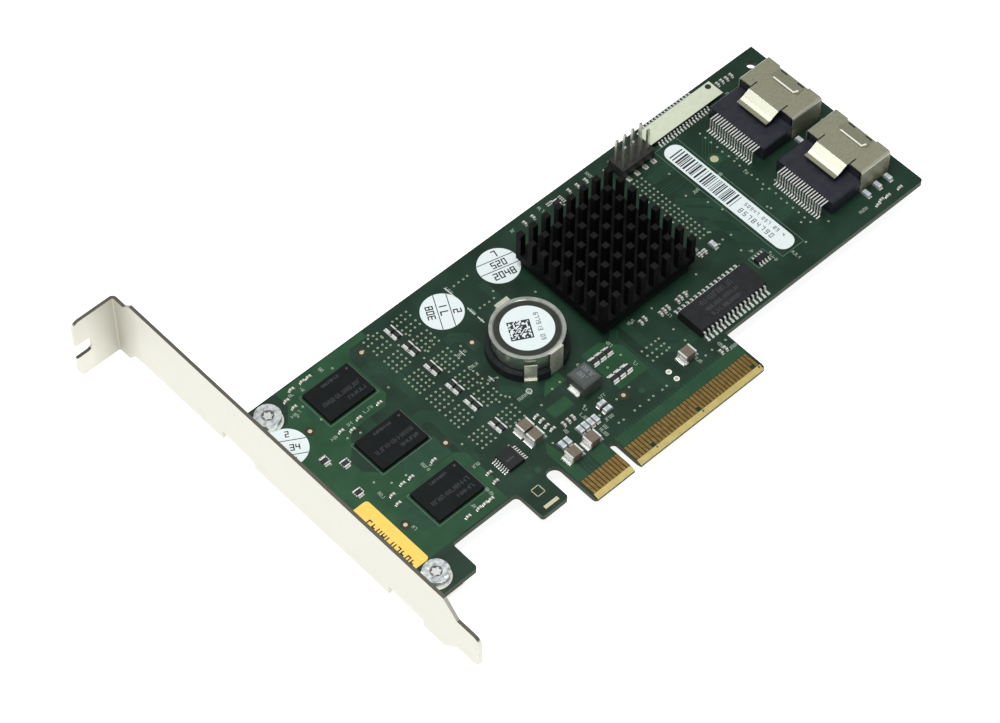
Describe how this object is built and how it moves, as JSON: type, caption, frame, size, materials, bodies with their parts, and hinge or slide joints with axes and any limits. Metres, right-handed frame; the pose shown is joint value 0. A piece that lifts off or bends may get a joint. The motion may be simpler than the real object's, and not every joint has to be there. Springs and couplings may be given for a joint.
{
  "type": "raid controller card",
  "caption": "Expansion card that runs a disk array: edge connector, full-height bracket, finned heat sink, activation key and two internal cable ports.",
  "frame": {"origin": "middle of the edge connector's key notch, on the tip edge, at the component side's surface", "axes": "+X along the board's long edge towards the cable ports, +Y towards the board's top edge, +Z out of the component side"},
  "size_m": [0.176, 0.1209, 0.0214],
  "materials": {
    "solder_mask": "satin green solder mask over copper",
    "gold_contact": "gold-plated copper",
    "bracket_steel": "plated sheet steel, satin",
    "zinc_screw": "bright zinc plate",
    "chip_black": "moulded epoxy",
    "memory_black": "moulded epoxy",
    "thermal_rubber": "soft thermal pad",
    "black_anodised": "black anodised aluminium",
    "ferrite_grey": "moulded ferrite",
    "can_steel": "turned stainless steel",
    "holder_black": "moulded, satin",
    "clip_nickel": "nickel-plated spring",
    "paper_white": "coated paper",
    "paper_yellow": "coated paper",
    "paper_beige": "coated paper",
    "shell_nickel": "nickel-plated sheet",
    "port_black": "glass-filled moulding",
    "header_black": "moulded, satin",
    "header_gold": "plated square wire",
    "tinned_lead": "tin plate",
    "tinned_end": "tin plate and solder",
    "ceramic_brown": "fired ceramic",
    "ceramic_grey": "fired ceramic",
    "ceramic_tan": "fired ceramic",
    "resistor_black": "glass coat"
  },
  "bodies": {
    "root": {"circuit_board": "solder_mask", "edge_contacts_component_side": "gold_contact", "edge_contacts_solder_side": "gold_contact", "mounting_bracket": "bracket_steel", "bracket_screws": "zinc_screw", "raid_processor": "chip_black", "thermal_pad": "thermal_rubber", "heat_sink": "black_anodised", "memory_chip_upper": "memory_black", "memory_chip_middle": "memory_black", "memory_chip_lower": "memory_black", "flash_memory_body": "chip_black", "flash_memory_leads": "tinned_lead", "flash_memory_label": "paper_beige", "static_memory_body": "chip_black", "static_memory_leads": "tinned_lead", "logic_chip_body": "chip_black", "logic_chip_leads": "tinned_lead", "monitor_chip_body": "chip_black", "monitor_chip_leads": "tinned_lead", "power_inductor_core": "ferrite_grey", "power_inductor_terminals": "tinned_lead", "activation_key": "can_steel", "key_holder": "holder_black", "key_holder_clips": "clip_nickel", "key_contact_leg": "clip_nickel", "key_label": "paper_white", "port_upper_shell": "shell_nickel", "port_upper_housing": "port_black", "port_upper_contacts": "tinned_lead", "port_lower_shell": "shell_nickel", "port_lower_housing": "port_black", "port_lower_contacts": "tinned_lead", "header_base": "header_black", "header_pins": "header_gold", "large_capacitor_bodies": "ceramic_brown", "large_capacitor_ends": "tinned_end", "medium_capacitor_bodies": "ceramic_grey", "medium_capacitor_ends": "tinned_end", "small_capacitor_bodies": "ceramic_tan", "small_capacitor_ends": "tinned_end", "resistor_array_bodies": "resistor_black", "resistor_array_ends": "tinned_end", "round_label_left": "paper_white", "round_label_centre": "paper_white", "round_label_right": "paper_white", "yellow_label": "paper_yellow", "barcode_label": "paper_white"}
  },
  "joints": []
}
